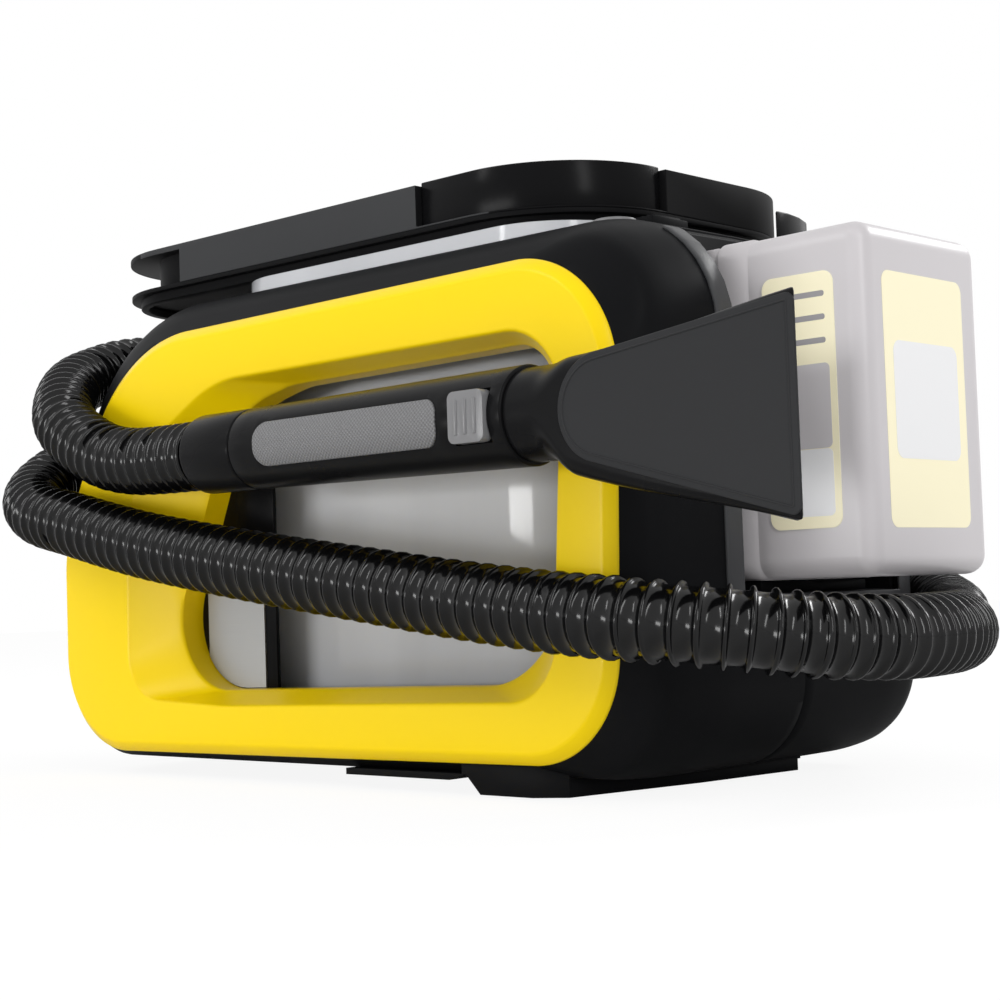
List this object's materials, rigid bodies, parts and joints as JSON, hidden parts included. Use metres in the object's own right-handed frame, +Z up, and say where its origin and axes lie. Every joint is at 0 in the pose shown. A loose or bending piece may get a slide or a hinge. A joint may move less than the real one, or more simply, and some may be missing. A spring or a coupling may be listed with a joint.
{
  "type": "spot extractor",
  "caption": "Cordless spot extractor with framed clear tank, level carry handle, wrapped ribbed suction hose, flat hand nozzle and slide-in battery.",
  "frame": {"origin": "on the floor under the middle of the housing, in the plane of the anti-slip strip", "axes": "+X to the battery end, +Y to the back, +Z up; the window and the hand tool face -Y"},
  "size_m": [0.5218, 0.2891, 0.2663],
  "materials": {
    "black_shell": "satin",
    "yellow": "satin",
    "black_gloss": "gloss",
    "dark_grey": "satin",
    "mid_grey": "satin",
    "brushed_plate": "brushed",
    "rubber": "matte",
    "clear_grey": "clear",
    "light_grey": "satin",
    "board": "satin",
    "steel": "satin",
    "alloy": "satin",
    "hose_black": "gloss",
    "battery_grey": "satin",
    "cell": "gloss",
    "red": "matte"
  },
  "bodies": {
    "housing": {"front_shell": "black_shell", "rear_shell": "black_shell", "window_bezel": "yellow", "info_panel": "black_gloss", "metal_plate": "brushed_plate", "right_skid": "black_shell", "rear_rail": "black_shell", "rubber_strip": "rubber", "tank_cradle": "dark_grey", "battery_bay": "black_shell", "battery_rails": "black_shell", "bay_rim": "mid_grey", "terminal_block": "dark_grey", "circuit_board": "board", "motor_bracket": "dark_grey", "turbine_housing": "dark_grey", "motor_can": "alloy", "motor_bearings": "steel", "pump_body": "light_grey", "pump_spring": "steel", "inlet_duct": "dark_grey", "docking_seal": "rubber", "water_pipe": "light_grey", "water_dock": "mid_grey", "hose_port": "black_shell", "exhaust_grille": "dark_grey", "housing_screws": "steel", "tool_clip": "black_shell", "hose_cuff": "black_shell", "tool_handle": "black_shell", "grip_insert": "mid_grey", "spray_valve": "steel", "hose": "hose_black"},
    "rotor": {"motor_shaft": "steel", "impeller": "light_grey"},
    "plunger": {"pump_plunger": "steel"},
    "power_button": {"power_button": "mid_grey"},
    "tank_latch": {"tank_latch": "black_shell"},
    "battery_release": {"battery_release": "mid_grey"},
    "spray_button": {"spray_button": "mid_grey"},
    "nozzle": {"nozzle_body": "black_shell", "nozzle_face": "dark_grey", "spray_jet": "black_gloss"},
    "tank": {"tank_shell": "clear_grey", "tank_lid": "black_shell", "lid_seal": "rubber", "handle_ring": "dark_grey", "corner_grip": "black_gloss", "standpipe": "light_grey", "float_cage": "dark_grey", "cap_pin": "steel", "water_valve": "dark_grey"},
    "float": {"float_ball": "red"},
    "pour_flap": {"pour_flap": "light_grey"},
    "fill_plug": {"fill_plug": "dark_grey"},
    "battery": {"battery_case": "battery_grey", "battery_base": "battery_grey", "battery_cells": "cell"}
  },
  "joints": [
    {"name": "tank_lift", "type": "slide", "parent": "housing", "child": "tank", "axis": [0, 0, 1], "range_m": [0, 0.25]},
    {"name": "float_rise", "type": "slide", "parent": "tank", "child": "float", "axis": [0, 0, 1], "range_m": [0, 0.028]},
    {"name": "flap_hinge", "type": "hinge", "parent": "tank", "child": "pour_flap", "pos_m": [-0.113, 0.024, 0.2639], "axis": [-1, 0, 0], "range_deg": [0, 100]},
    {"name": "plug_lift", "type": "slide", "parent": "tank", "child": "fill_plug", "axis": [0, 0, 1], "range_m": [0, 0.06]},
    {"name": "battery_lift", "type": "slide", "parent": "housing", "child": "battery", "axis": [0, 0, 1], "range_m": [0, 0.16]},
    {"name": "nozzle_pull", "type": "slide", "parent": "housing", "child": "nozzle", "axis": [1, 0, 0], "range_m": [0, 0.035]},
    {"name": "spray_press", "type": "slide", "parent": "housing", "child": "spray_button", "axis": [0, 1, 0], "range_m": [0, 0.0016], "stiffness_N_per_m": 400, "springref_m": -0.001},
    {"name": "power_press", "type": "slide", "parent": "housing", "child": "power_button", "axis": [0, 0, -1], "range_m": [0, 0.002], "stiffness_N_per_m": 400, "springref_m": -0.002},
    {"name": "battery_release_press", "type": "slide", "parent": "housing", "child": "battery_release", "axis": [0, 0, -1], "range_m": [0, 0.003], "stiffness_N_per_m": 400, "springref_m": -0.002},
    {"name": "tank_latch_slide", "type": "slide", "parent": "housing", "child": "tank_latch", "axis": [1, 0, 0], "range_m": [0, 0.006], "stiffness_N_per_m": 300, "springref_m": -0.003},
    {"name": "rotor_spin", "type": "hinge", "parent": "housing", "child": "rotor", "pos_m": [-0.15, 0, 0.12], "axis": [0, 1, 0], "continuous": true},
    {"name": "pump_stroke", "type": "slide", "parent": "housing", "child": "plunger", "axis": [-1, 0, 0], "range_m": [0, 0.003], "stiffness_N_per_m": 600, "springref_m": -0.002, "deforming": ["pump_spring"]}
  ]
}
